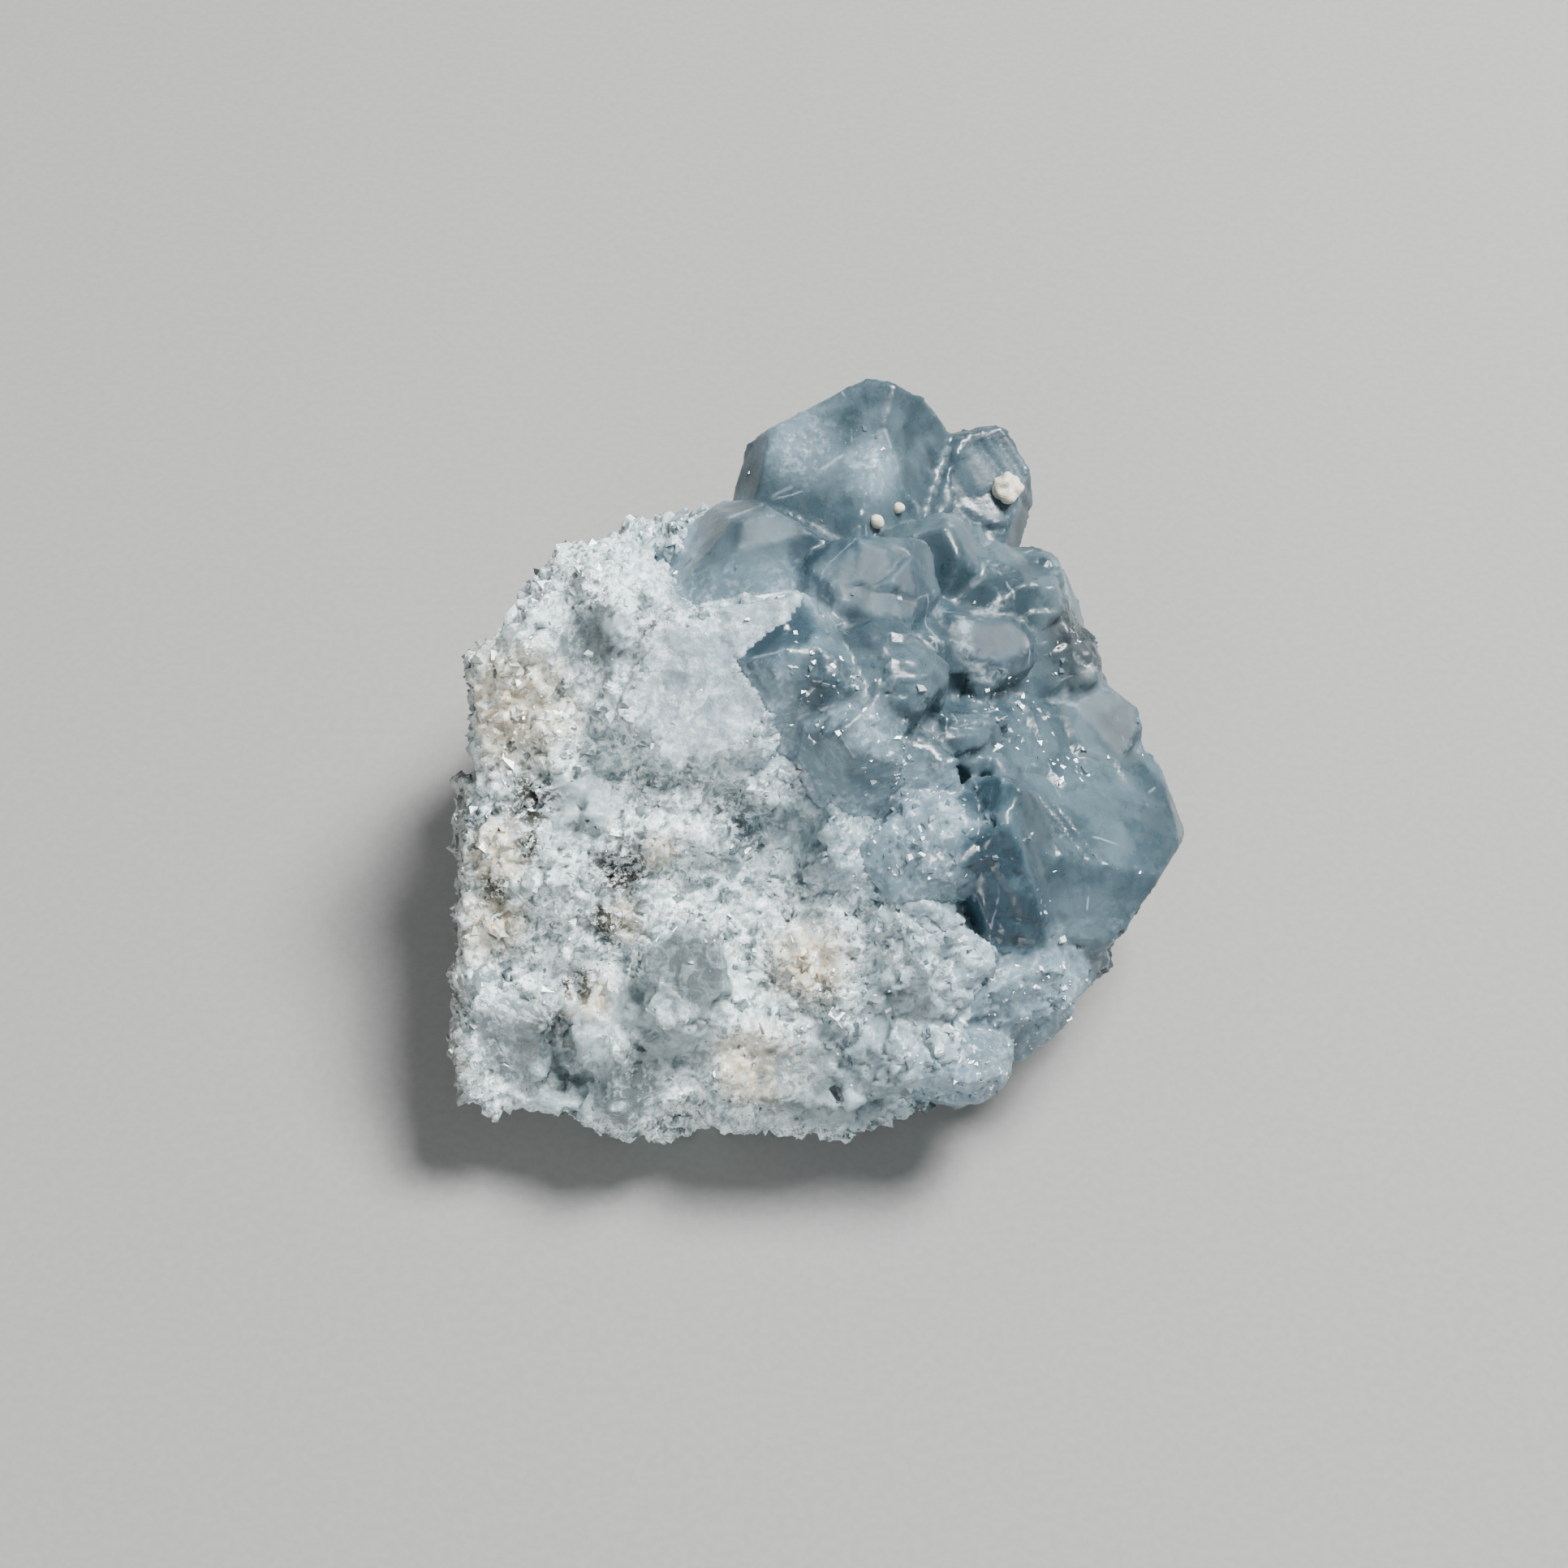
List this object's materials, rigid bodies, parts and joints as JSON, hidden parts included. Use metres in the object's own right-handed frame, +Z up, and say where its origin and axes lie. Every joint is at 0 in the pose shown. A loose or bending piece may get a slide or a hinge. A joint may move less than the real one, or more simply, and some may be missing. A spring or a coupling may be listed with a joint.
{
  "type": "celestite specimen",
  "caption": "Small mineral specimen: a chunk of pale granular geode wall with blocky pale blue celestite crystals grown out of one side, resting on a flat break.",
  "frame": {"origin": "centre of the bounding box's bottom face, on the surface that the specimen rests on", "axes": "+Z up from the rest face; +X from the wall's outer skin towards the crystals; +Y from the broken face towards the back"},
  "size_m": [0.0442, 0.0458, 0.0262],
  "materials": {
    "massive_celestite": "sugary granular break, whitish blue-grey with cream and dark specks",
    "blue_celestite": "milky translucent blue-grey with glossy cleavage faces"
  },
  "bodies": {
    "root": {"matrix": "massive_celestite", "crystals": "blue_celestite"}
  },
  "joints": []
}
